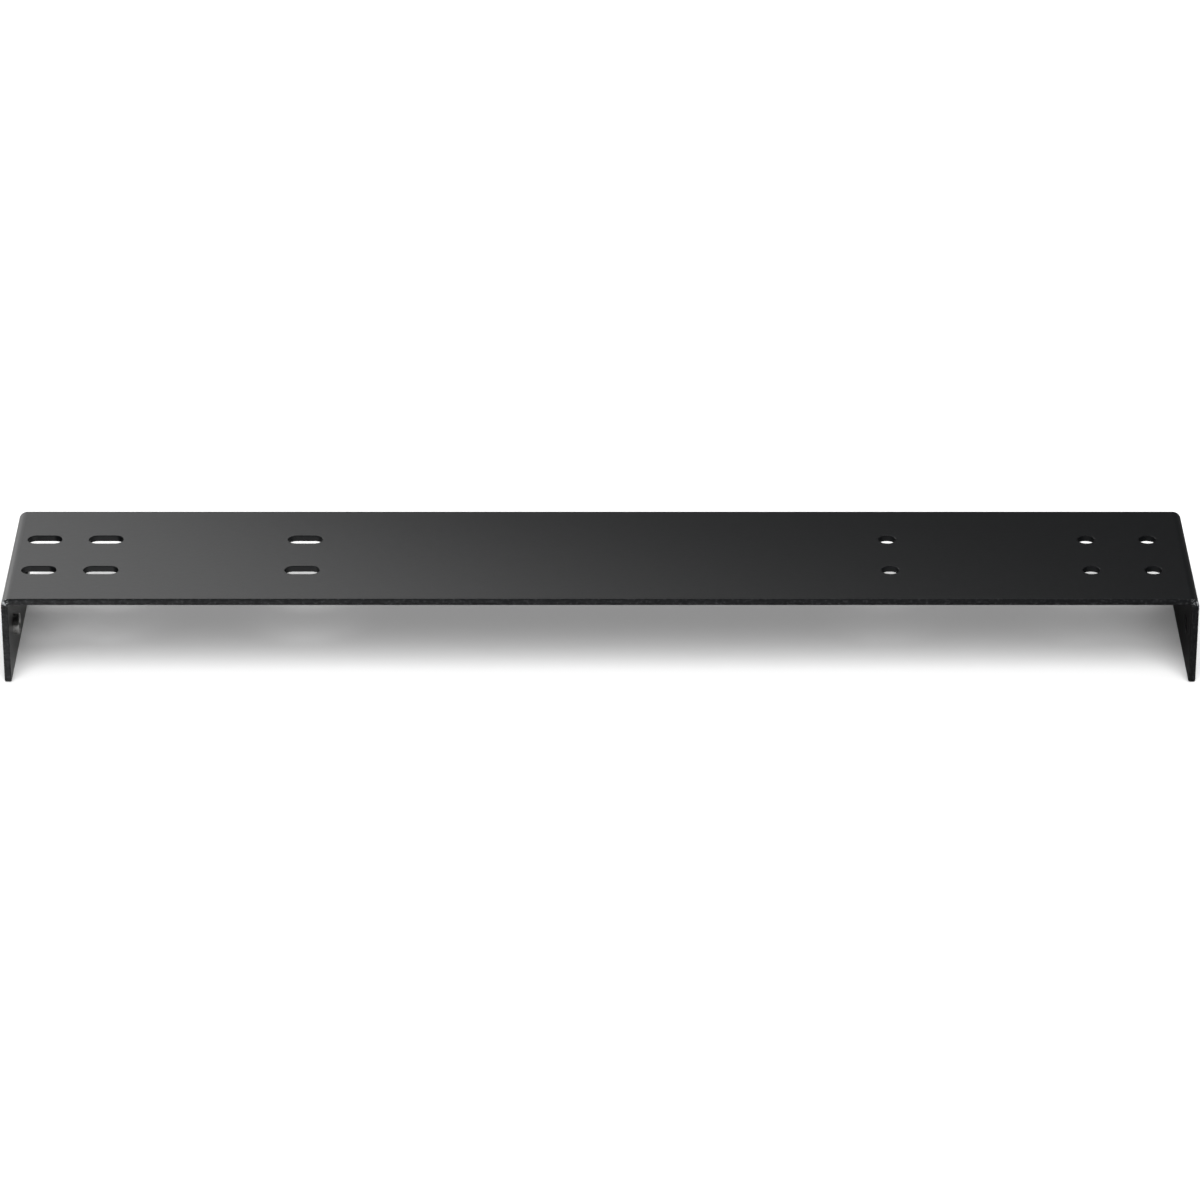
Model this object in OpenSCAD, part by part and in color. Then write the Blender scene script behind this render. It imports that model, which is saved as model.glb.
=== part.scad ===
// Rack mounting bracket: one steel sheet folded into a shallow, wide U.
// The plate lies flat on top and a flange is turned down at each end. The left
// end of the plate is slotted and the right end has round holes, so it takes up
// the tolerance between two sets of fixings. The left flange carries two
// self-clinching nuts, and the right flange has two plain clearance holes.
//
// X runs along the bracket, Y from front to back and Z upwards. The origin is
// on the ground under the middle of the plate.

/* [Sheet] */
// Length over the outer faces of the two flanges
bracket_l = 486.8; // [300:0.1:900]
// Depth of the plate and the flanges from front to back
bracket_d = 82.55; // [58:0.05:200]
// Height from the flanges' bottom edges to the top of the plate
bracket_h = 38.1; // [28:0.1:80]
// Thickness of the sheet with its coat of powder paint
sheet_t = 2.8; // [1.8:0.05:4]
// Inside radius of the two bends
bend_r = 0.8; // [0.4:0.1:4]
// Radius that rounds the sheet's cut edges
edge_r = 0.6; // [0.1:0.05:0.8]
// Radius of the flanges' bottom corners
corner_r = 1.5; // [0.9:0.1:8]

/* [Plate holes and slots] */
// Diameter of the round holes, and width of the slots
hole_d = 7.14; // [4:0.01:12]
// Length of a slot from end to end
slot_l = 14.29; // [12.5:0.01:18]
// From the left flange's outer face to the first column of slots
slot_margin = 13.3; // [12:0.1:60]
// From the right flange's outer face to the first column of holes
hole_margin = 16.4; // [10:0.1:60]
// From the first column to the second
first_pitch = 25.4; // [19:0.05:60]
// From the second column to the third
second_pitch = 82.55; // [19:0.05:100]
// From the front row to the back row
row_pitch = 28.575; // [12:0.005:66]
// Radius of the rims where the punch entered, on the sheet's outer side
rim_r = 0.3; // [0.05:0.05:0.6]
// Radius of the rims where the punch came out, on the sheet's inner side
exit_rim_r = 0.6; // [0.05:0.05:0.8]

/* [Flange fixings] */
// From the front and back edges of a flange to its fixings
fixing_in = 20.6; // [8:0.1:34]
// From a flange's bottom edge up to its fixings
fixing_up = 16.7; // [8:0.1:28]
// Diameter of the clearance holes in the right flange
clearance_d = 7.14; // [4:0.01:14]

/* [Clinch nuts] */
// Outside diameter of the thread
thread_d = 4.83; // [2.8:0.01:8]
// Depth of the thread, from its outside to its crests in the bore
thread_depth = 0.395; // [0.2:0.005:0.7]
// Wall of the shank, outside the thread
shank_wall = 1.32; // [1:0.01:2]
// How far the clinch ring stands out past the shank
clinch_rim = 0.315; // [0.1:0.005:0.5]
// Depth of the clinch ring, which is pressed into the sheet
clinch_l = 0.35; // [0.15:0.05:0.6]
// Depth of the groove, below the shank's surface
groove_depth = 0.285; // [0.1:0.005:0.5]
// Length of the groove that the sheet's metal flows into
groove_l = 0.48; // [0.2:0.01:0.7]
// Length of the shank's collar, past the groove
collar_l = 0.55; // [0.2:0.01:0.8]
// How far the body stands out past the shank, where it sits on the flange
shoulder = 0.635; // [0.55:0.005:2]
// Height of the body above the flange
nut_body_h = 2.29; // [1.5:0.01:6]
// Chamfer round the free end of the body
nut_chamfer = 0.35; // [0.1:0.05:0.8]
// Space round the shank in the punched hole, past the collar
seat_gap = 0.025; // [0.01:0.005:0.2]

/* [Hidden] */
$fn = 64;

// Running past a face that is cut
past = 1;
outer_bend_r = bend_r + sheet_t;
// Flat part of the plate, between the bends
flat_l = bracket_l - 2 * outer_bend_r;
// Where the flanges' inner faces are, from the middle
inner_x = bracket_l / 2 - sheet_t;
// Distances of the three columns from the first one
columns = [0, first_pitch, first_pitch + second_pitch];
rows = [-row_pitch / 2, row_pitch / 2];
fixing_y = [fixing_in - bracket_d / 2, bracket_d / 2 - fixing_in];
// Radii and lengths of a clinch nut, all from its thread
bore_r = thread_d / 2 - thread_depth;
shank_r = thread_d / 2 + shank_wall;
clinch_r = shank_r + clinch_rim;
groove_r = shank_r - groove_depth;
body_r = shank_r + shoulder;
seat_r = shank_r + seat_gap;
collar_start = clinch_l + groove_l;
shank_l = collar_start + collar_l;
// Both mouths are countersunk at 45 degrees, to just past the thread
mouth_r = thread_d / 2 + 0.1;
mouth_l = mouth_r - bore_r;

// Cross section of the sheet, with X through its thickness and Y along its width
module sheet_section() {
    translate([edge_r, -bracket_d / 2])
        square([sheet_t - 2 * edge_r, bracket_d]);
    translate([0, edge_r - bracket_d / 2])
        square([sheet_t, bracket_d - 2 * edge_r]);
    for (x = [edge_r, sheet_t - edge_r], side = [-1, 1])
        translate([x, side * (bracket_d / 2 - edge_r)])
            circle(edge_r);
}

// Cross section of a flange's bottom edge, with X down from the corners' centre
// line and Y through the thickness
module toe_section() {
    translate([0, edge_r])
        square([corner_r, sheet_t - 2 * edge_r]);
    square([corner_r - edge_r, sheet_t]);
    for (y = [edge_r, sheet_t - edge_r])
        translate([corner_r - edge_r, y])
            circle(edge_r);
}

// The bottom of the right flange: a straight toe with a rounded corner at each end
module toe() {
    toe_half = bracket_d / 2 - corner_r;
    translate([inner_x, 0, corner_r])
        rotate([90, 0, 90]) {
            translate([toe_half, 0, 0])
                rotate([90, 0, -90])
                    linear_extrude(2 * toe_half)
                        toe_section();
            for (side = [0, 1])
                mirror([side, 0, 0])
                    translate([toe_half, 0, 0])
                        rotate([0, 0, -90])
                            rotate_extrude(angle = 90)
                                toe_section();
        }
}

// The right bend and the flange under it
module folded_end() {
    translate([flat_l / 2, 0, bracket_h - outer_bend_r])
        rotate([90, 0, 0])
            rotate_extrude(angle = 90)
                translate([bend_r, 0])
                    sheet_section();
    translate([inner_x, 0, corner_r])
        linear_extrude(bracket_h - outer_bend_r - corner_r)
            sheet_section();
    toe();
}

// The sheet as folded, before its holes
module folded_sheet() {
    translate([-flat_l / 2, 0, bracket_h])
        rotate([0, 90, 0])
            linear_extrude(flat_l)
                sheet_section();
    folded_end();
    mirror([1, 0, 0])
        folded_end();
}

// Rounds the rim of an opening of radius r into a face at Y = 0, with the sheet
// below it
module rim_section(r, rim) {
    translate([r, -rim])
        difference() {
            square([rim, rim + past]);
            translate([rim, 0])
                circle(rim);
        }
}

// Half of the section of a cutter for an opening: a straight wall through the
// sheet, from the inner side at Y = 0 to the outer side at Y = sheet_t
module opening_section(r) {
    translate([0, -past])
        square([r, sheet_t + 2 * past]);
    translate([0, sheet_t])
        rim_section(r, rim_r);
    mirror([0, 1])
        rim_section(r, exit_rim_r);
}

module round_cutter(d) {
    rotate_extrude()
        opening_section(d / 2);
}

module slot_cutter() {
    reach = (slot_l - hole_d) / 2;
    for (side = [-1, 1])
        translate([side * reach, 0, 0])
            round_cutter(hole_d);
    translate([-reach, 0, 0])
        rotate([90, 0, 90])
            linear_extrude(2 * reach)
                for (side = [0, 1])
                    mirror([side, 0])
                        opening_section(hole_d / 2);
}

// Slots at the left end of the plate and round holes at the right end
module plate_openings() {
    translate([0, 0, bracket_h - sheet_t])
        for (column = columns, row = rows) {
            translate([column + slot_margin - bracket_l / 2, row, 0])
                slot_cutter();
            translate([bracket_l / 2 - hole_margin - column, row, 0])
                round_cutter(hole_d);
        }
}

// Clearance holes in the right flange
module flange_openings() {
    for (y = fixing_y)
        translate([inner_x, y, fixing_up])
            rotate([0, 90, 0])
                round_cutter(clearance_d);
}

// A nut's outline inside the sheet, from the inner face down: clinch ring,
// groove and collar
shank_outline = [
    [clinch_r, 0],
    [clinch_r, -clinch_l],
    [groove_r, -clinch_l],
    [groove_r, -collar_start],
    [shank_r, -collar_start],
    [shank_r, -shank_l]
];

// The left flange's metal grips the whole shank, and the punched hole runs on
// past it to the outer side, where its rim is rounded
module nut_seat() {
    rotate_extrude() {
        polygon(concat([[0, past], [clinch_r, past]], shank_outline, [[0, -shank_l]]));
        translate([0, -sheet_t - past])
            square([seat_r, sheet_t + past - shank_l]);
        translate([0, -sheet_t])
            mirror([0, 1])
                rim_section(seat_r, rim_r);
    }
}

// A turned self-clinching nut, with its body above Z = 0
module clinch_nut() {
    rotate_extrude()
        polygon(concat(
            [
                [bore_r, mouth_l - shank_l],
                [bore_r, nut_body_h - mouth_l],
                [mouth_r, nut_body_h],
                [body_r - nut_chamfer, nut_body_h],
                [body_r, nut_body_h - nut_chamfer],
                [body_r, 0]
            ],
            shank_outline,
            [[mouth_r, -shank_l]]
        ));
}

// Places its child on the left flange's inner face at both fixings, facing inwards
module at_nut_seats() {
    for (y = fixing_y)
        translate([-inner_x, y, fixing_up])
            rotate([0, 90, 0])
                children();
}

module bracket() {
    color([0.10, 0.10, 0.11])
        difference() {
            folded_sheet();
            plate_openings();
            flange_openings();
            at_nut_seats()
                nut_seat();
        }
}

module clinch_nuts() {
    color([0.70, 0.71, 0.70])
        at_nut_seats()
            clinch_nut();
}

bracket();
clinch_nuts();
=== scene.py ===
"""A rack mounting bracket with its clinch nuts, on a pale studio floor.

Lengths are in metres. X runs along the bracket, Y from front to back and Z up.
"""
import math

import bmesh
import bpy
from mathutils import Matrix, Vector


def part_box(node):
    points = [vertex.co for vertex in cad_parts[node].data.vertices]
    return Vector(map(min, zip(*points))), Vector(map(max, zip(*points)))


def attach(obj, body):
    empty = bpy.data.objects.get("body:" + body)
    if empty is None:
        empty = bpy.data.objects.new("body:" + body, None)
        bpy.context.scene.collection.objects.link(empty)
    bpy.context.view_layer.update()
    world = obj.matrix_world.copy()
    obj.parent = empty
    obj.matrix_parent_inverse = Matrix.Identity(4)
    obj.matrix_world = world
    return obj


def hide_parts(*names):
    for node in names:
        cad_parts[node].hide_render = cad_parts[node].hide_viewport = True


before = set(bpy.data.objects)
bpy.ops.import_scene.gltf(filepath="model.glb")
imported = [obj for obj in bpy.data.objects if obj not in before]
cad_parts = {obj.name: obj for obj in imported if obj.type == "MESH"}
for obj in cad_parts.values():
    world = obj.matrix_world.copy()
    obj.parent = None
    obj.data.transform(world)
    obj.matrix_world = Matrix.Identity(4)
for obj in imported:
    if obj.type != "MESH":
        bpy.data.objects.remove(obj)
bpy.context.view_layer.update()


# Folded bracket. One steel sheet, punched flat, folded down at both ends and
# powder coated black. The coat is an even fine grain on the faces. It lies
# rough and speckled over the sheared edges, and it is scuffed at the bends.
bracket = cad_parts["bracket"]
plate_low, plate_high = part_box("bracket")
half_length, half_depth, top = plate_high
sheet = 0.0028
edge_round = 0.0006
bend_outside = 0.0036
coat_dark = (0.0045, 0.0049, 0.0055)
coat_pale = (0.0075, 0.008, 0.0088)
coat_speck = (0.028, 0.0292, 0.031)
bare_steel = (0.32, 0.33, 0.34)
coat_roughness = 0.32
edge_dulling = 0.35


def feed(tree, socket, source):
    """Gives a socket a value, or links it to the socket that the value comes from."""
    if isinstance(source, bpy.types.NodeSocket):
        tree.links.new(source, socket)
    elif source is not None:
        socket.default_value = source


def join(tree, kind, *sources, **settings):
    """Adds a node whose inputs come from sources, in their order."""
    node = tree.nodes.new(kind)
    for name, value in settings.items():
        setattr(node, name, value)
    for socket, source in zip(node.inputs, sources):
        feed(tree, socket, source)
    return node


def maths(tree, operation, *sources):
    return join(tree, "ShaderNodeMath", *sources, operation=operation).outputs[0]


def step(tree, value, low, high):
    """Rises smoothly from 0 at low to 1 at high."""
    node = join(tree, "ShaderNodeMapRange", value, low, high, 0.0, 1.0,
                interpolation_type="SMOOTHSTEP")
    return node.outputs[0]


def noise(tree, place, scale, detail=2.0):
    node = join(tree, "ShaderNodeTexNoise", place)
    feed(tree, node.inputs["Scale"], scale)
    feed(tree, node.inputs["Detail"], detail)
    return node.outputs["Fac"]


def mixed(tree, factor, first, second):
    """Blends two colours, through the mix node's sockets for colours."""
    node = join(tree, "ShaderNodeMix", factor, data_type="RGBA")
    for socket, colour in ((node.inputs[6], first), (node.inputs[7], second)):
        feed(tree, socket, (*colour, 1) if isinstance(colour, tuple) else colour)
    return node.outputs[2]


def bumped(tree, height, strength, distance):
    node = tree.nodes.new("ShaderNodeBump")
    node.inputs["Strength"].default_value = strength
    node.inputs["Distance"].default_value = distance
    feed(tree, node.inputs["Height"], height)
    return node.outputs[0]


def object_place(tree):
    return tree.nodes.new("ShaderNodeTexCoord").outputs["Object"]


def new_group(name, inputs, outputs):
    """An empty shader node group, with its input and output sockets."""
    group = bpy.data.node_groups.new(name, "ShaderNodeTree")
    for direction, sockets in (("INPUT", inputs), ("OUTPUT", outputs)):
        for socket, kind in sockets.items():
            group.interface.new_socket(name=socket, in_out=direction, socket_type=kind)
    return (group, group.nodes.new("NodeGroupInput").outputs,
            group.nodes.new("NodeGroupOutput").inputs)


def placed(tree, group, **values):
    """Puts a group in a material with its own values, and gives its outputs."""
    node = tree.nodes.new("ShaderNodeGroup")
    node.node_tree = group
    for name, value in values.items():
        feed(tree, node.inputs[name], value)
    return node.outputs


def new_material(name, colour, roughness, metallic=0.0, specular=0.5):
    material = bpy.data.materials.new(name)
    material.use_nodes = True
    shader = material.node_tree.nodes["Principled BSDF"]
    shader.inputs["Base Color"].default_value = (*colour, 1)
    shader.inputs["Roughness"].default_value = roughness
    shader.inputs["Metallic"].default_value = metallic
    shader.inputs["Specular IOR Level"].default_value = specular
    return material, shader


# A fine grain over a slow swell, which the coat and the plating share.
finish_grain, given, result = new_group(
    "finish_grain",
    {"Place": "NodeSocketVector", "Grain": "NodeSocketFloat", "Swell": "NodeSocketFloat",
     "Share": "NodeSocketFloat"},
    {"Height": "NodeSocketFloat", "Tone": "NodeSocketFloat"})
grit = noise(finish_grain, given["Place"], given["Grain"], 2.5)
swell = noise(finish_grain, given["Place"], given["Swell"])
feed(finish_grain, result["Height"],
     maths(finish_grain, "MULTIPLY_ADD", swell, given["Share"], grit))
feed(finish_grain, result["Tone"], grit)

coat, coat_shader = new_material("powder_coat", coat_dark, coat_roughness)
tree = coat.node_tree
spot = object_place(tree)
x, y, z = join(tree, "ShaderNodeSeparateXYZ", spot).outputs
across, along = maths(tree, "ABSOLUTE", y), maths(tree, "ABSOLUTE", x)
grain = placed(tree, finish_grain, Place=spot, Grain=1500.0, Swell=420.0, Share=1.4)

# The sheared edge in front and at the back, and the lips on both sides of it.
edge = step(tree, across, half_depth - 0.9 * edge_round, half_depth - 0.3 * edge_round)
lip = step(tree, across, half_depth - 1.3 * edge_round, half_depth - 0.7 * edge_round)
rough_speck = noise(tree, spot, 900.0)
dash_place = join(tree, "ShaderNodeMapping", spot)
dash_place.inputs["Scale"].default_value = (0.35, 1, 1)
dash = step(tree, noise(tree, dash_place.outputs[0], 1100.0, 1.5), 0.4, 0.62)

# Scuffs where the outside of each bend meets a sheared edge.
corner_x = step(tree, along, half_length - bend_outside, half_length - 0.5 * bend_outside)
corner_z = step(tree, z, top - bend_outside, top - 0.6 * bend_outside)
corner = maths(tree, "MULTIPLY", maths(tree, "MULTIPLY", corner_x, corner_z), lip)
scuff = maths(tree, "MULTIPLY", corner, step(tree, noise(tree, spot, 1300.0), 0.5, 0.66))

speckle = maths(tree, "MULTIPLY", edge, step(tree, rough_speck, 0.52, 0.72))
colour = mixed(tree, step(tree, grain["Tone"], 0.4, 0.75), coat_dark, coat_pale)
colour = mixed(tree, speckle, colour, coat_speck)
colour = mixed(tree, scuff, colour, bare_steel)
feed(tree, coat_shader.inputs["Base Color"], colour)
dull = maths(tree, "MULTIPLY", lip, dash)
feed(tree, coat_shader.inputs["Roughness"],
     maths(tree, "MULTIPLY_ADD", dull, edge_dulling, coat_roughness))
raised = maths(tree, "MULTIPLY_ADD", maths(tree, "MULTIPLY", lip, rough_speck), 6.0,
               grain["Height"])
feed(tree, coat_shader.inputs["Normal"], bumped(tree, raised, 0.55, 0.00003))
bracket.data.materials.clear()
bracket.data.materials.append(coat)


# Clinch nuts. Two turned steel nuts, zinc plated, with a no. 10 thread of 32
# turns to the inch. A press seats each shank in a punched hole of the left
# flange, and the body stands on the flange's inner face.
thread_radius, bore_radius, pitch = 0.002415, 0.00202, 0.000794
thread_crest, thread_flank = 0.125, 0.625
shank_radius, body_radius = 0.003735, 0.00437
body_height, shank_length = 0.00229, 0.00138
clinch_radius, clinch_length = 0.00405, 0.00035
groove_radius, groove_end = 0.00345, 0.00083
mouth_radius = thread_radius + 0.0001
mouth_length = mouth_radius - bore_radius
bore_length = body_height + shank_length
chamfer = 0.00035
plating_dark = (0.40, 0.40, 0.39)
plating_pale = (0.56, 0.56, 0.55)
nut_low, nut_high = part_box("clinch_nuts")
nut_y = nut_high.y - body_radius
nut_z = (nut_low.z + nut_high.z) / 2
flange_face = sheet - half_length
bore_steps = 60
turn_steps = 96
merge_distance = 1e-7
mouth_margin = 1e-6


def thread_depth(reach, angle):
    """Depth of the thread's groove behind the bore, at a place along it."""
    phase = (reach / pitch - angle / (2 * math.pi)) % 1
    rise = abs(phase - 0.5) * 2
    share = min(1, max(0, (rise - thread_crest) / thread_flank))
    return (thread_radius - bore_radius) * share


def only_verts(parts):
    return [part for part in parts if isinstance(part, bmesh.types.BMVert)]


nut_mesh = bmesh.new()
outline = [
    (-shank_length, mouth_radius), (-shank_length, shank_radius), (-groove_end, shank_radius),
    (-groove_end, groove_radius), (-clinch_length, groove_radius),
    (-clinch_length, clinch_radius), (0, clinch_radius), (0, body_radius),
    (body_height - chamfer, body_radius), (body_height, body_radius - chamfer),
    (body_height, mouth_radius)]
for count in range(1, bore_steps):
    reach = body_height - bore_length * count / bore_steps
    from_mouth = min(body_height - reach, reach + shank_length)
    outline.append((reach, max(bore_radius, mouth_radius - from_mouth)))
corners = [nut_mesh.verts.new((reach, radius, 0)) for reach, radius in outline]
rim = [nut_mesh.edges.new((corners[i - 1], corners[i])) for i in range(len(corners))]
bmesh.ops.spin(nut_mesh, geom=corners + rim, axis=(1, 0, 0), cent=(0, 0, 0), dvec=(0, 0, 0),
               angle=2 * math.pi, steps=turn_steps, use_merge=True, use_duplicate=False)
bmesh.ops.remove_doubles(nut_mesh, verts=nut_mesh.verts, dist=merge_distance)
for vert in nut_mesh.verts:
    reach, side, up = vert.co
    radius = math.hypot(side, up)
    if radius < mouth_radius - mouth_margin:
        wanted = max(radius, bore_radius + thread_depth(reach, math.atan2(up, side)))
        vert.co.yz *= min(wanted, mouth_radius) / radius
bmesh.ops.recalc_face_normals(nut_mesh, faces=nut_mesh.faces)
front_nut = nut_mesh.verts[:] + nut_mesh.edges[:] + nut_mesh.faces[:]
back_nut = bmesh.ops.duplicate(nut_mesh, geom=front_nut)["geom"]
for nut, place_y in ((front_nut, -nut_y), (back_nut, nut_y)):
    bmesh.ops.translate(nut_mesh, verts=only_verts(nut), vec=(flange_face, place_y, nut_z))
nut_data = bpy.data.meshes.new("turned_nuts")
nut_mesh.to_mesh(nut_data)
nut_mesh.free()
nut_data.shade_smooth()
nut_data.set_sharp_from_angle(angle=math.radians(30))
turned_nuts = bpy.data.objects.new("turned_nuts", nut_data)
bpy.context.scene.collection.objects.link(turned_nuts)
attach(turned_nuts, "root")
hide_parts("clinch_nuts")

plating, plating_shader = new_material("plated_steel", plating_dark, 0.3, metallic=1.0)
tree = plating.node_tree
spot = object_place(tree)
x, y, z = join(tree, "ShaderNodeSeparateXYZ", spot).outputs
side = maths(tree, "SUBTRACT", maths(tree, "ABSOLUTE", y), nut_y)
up = maths(tree, "SUBTRACT", z, nut_z)
from_axis = maths(tree, "SQRT", maths(tree, "ADD", maths(tree, "MULTIPLY", side, side),
                                      maths(tree, "MULTIPLY", up, up)))
turned = join(tree, "ShaderNodeCombineXYZ", x, from_axis, 0.0).outputs[0]
lathe_lines = noise(tree, turned, 9000.0)
grain = placed(tree, finish_grain, Place=spot, Grain=4000.0, Swell=700.0, Share=0.8)
feed(tree, plating_shader.inputs["Roughness"],
     maths(tree, "MULTIPLY_ADD", grain["Tone"], 0.18, 0.2))
feed(tree, plating_shader.inputs["Base Color"],
     mixed(tree, step(tree, grain["Height"], 0.6, 1.2), plating_dark, plating_pale))
raised = maths(tree, "ADD", lathe_lines, grain["Height"])
feed(tree, plating_shader.inputs["Normal"], bumped(tree, raised, 0.4, 0.00001))
nut_data.materials.append(plating)


# Studio. White paper on the floor, a wide soft sun in front of the bracket,
# and soft boxes behind it and at both sides. The paper and the walls look
# white to the camera, and the walls meet the bracket's gloss darker, as in a
# tent with black cards round it. The paper's colour holds painted shade for
# every ray but the camera's: a grey that darkens towards +X, which is what
# the bracket reflects and what bounces onto it.
bpy.context.scene.view_settings.view_transform = "Standard"
white = (0.9, 0.9, 0.9)
floor_reach = 8
paper_mesh = bmesh.new()
bmesh.ops.create_grid(paper_mesh, x_segments=1, y_segments=1, size=floor_reach)
paper_data = bpy.data.meshes.new("floor")
paper_mesh.to_mesh(paper_data)
paper_mesh.free()
floor = bpy.data.objects.new("floor", paper_data)
bpy.context.scene.collection.objects.link(floor)
paper, paper_shader = new_material("floor_paper", white, 1.0, specular=0.0)
paper_data.materials.append(paper)
tree = paper.node_tree
# Painted shade: every ray but the camera's meets a grey paper, from 0.45 at the left to 0.08
# at the right, so the bracket reflects and takes bounce from a floor painted darker towards
# +X.
seen = tree.nodes.new("ShaderNodeLightPath").outputs["Is Camera Ray"]
x = join(tree, "ShaderNodeSeparateXYZ", object_place(tree)).outputs[0]
shade = join(tree, "ShaderNodeMapRange", x, -0.25, 0.25, 0.45, 0.08).outputs[0]
painted_shade_colour = join(tree, "ShaderNodeCombineColor", shade, shade, shade).outputs[0]
feed(tree, paper_shader.inputs["Base Color"], mixed(tree, seen, painted_shade_colour, white))

world = bpy.data.worlds.new("studio")
bpy.context.scene.world = world
world.use_nodes = True
world.cycles.sampling_method = "NONE"
tree = world.node_tree
background = tree.nodes["Background"]
background.inputs["Color"].default_value = (1, 1, 1, 1)
path = tree.nodes.new("ShaderNodeLightPath").outputs
strength = maths(tree, "MULTIPLY_ADD", path["Is Diffuse Ray"], 0.5, 0.05)
feed(tree, background.inputs["Strength"],
     maths(tree, "MAXIMUM", strength, path["Is Camera Ray"]))


def soft_box(name, place, aim, width, height, radiance, roll=0.0, gloss=True):
    """A soft box that lights the gloss of what it faces, or else its body."""
    light = bpy.data.lights.new(name, "AREA")
    light.shape = "RECTANGLE"
    light.size, light.size_y = width, height
    light.energy = radiance * math.pi * width * height
    box = bpy.data.objects.new(name, light)
    place = Vector(place)
    box.location = place
    turn = (Vector(aim) - place).to_track_quat("-Z", "Y").to_matrix().to_4x4()
    box.rotation_euler = (turn @ Matrix.Rotation(math.radians(roll), 4, "Z")).to_euler()
    box.visible_camera = False
    box.visible_glossy, box.visible_diffuse = gloss, not gloss
    bpy.context.scene.collection.objects.link(box)


sun = bpy.data.lights.new("sun", "SUN")
sun.angle = math.radians(55)
sun.energy = 3.6
sun_object = bpy.data.objects.new("sun", sun)
sun_object.rotation_euler = Vector((0, 0.65, -0.74)).to_track_quat("-Z", "Y").to_euler()
sun_object.visible_glossy = False
bpy.context.scene.collection.objects.link(sun_object)

soft_box("sheen", (-0.33, 0.4, 0.41), (-0.33, 0, 0.41), 1.2, 0.5, 1.3, roll=-25)
soft_box("left_gloss", (-0.75, 0.6, 0.18), (-0.24, 0, 0.03), 0.5, 0.36, 0.75)
soft_box("right_gloss", (1.1, 0.3, 0.3), (0, 0, 0.03), 0.6, 0.4, 0.3)
soft_box("left_fill", (-0.9, 0.9, 0.5), (0, 0, 0), 1.0, 0.8, 0.8, gloss=False)
soft_box("right_fill", (0.9, 0.9, 0.5), (0, 0, 0), 1.0, 0.8, 0.8, gloss=False)

lens_tilt = math.radians(26.6)
lens_distance = 2.2626
look_at = Vector((0, plate_low.y, plate_high.z))
lens = bpy.data.cameras.new("camera")
lens.sensor_width = 36
lens.lens = 167.26
lens.shift_y = -0.0005
lens.clip_end = 30
camera = bpy.data.objects.new("camera", lens)
camera.location = look_at + lens_distance * Vector((0, -math.cos(lens_tilt),
                                                    math.sin(lens_tilt)))
camera.rotation_euler = (math.pi / 2 - lens_tilt, 0, 0)
bpy.context.scene.collection.objects.link(camera)
bpy.context.scene.camera = camera
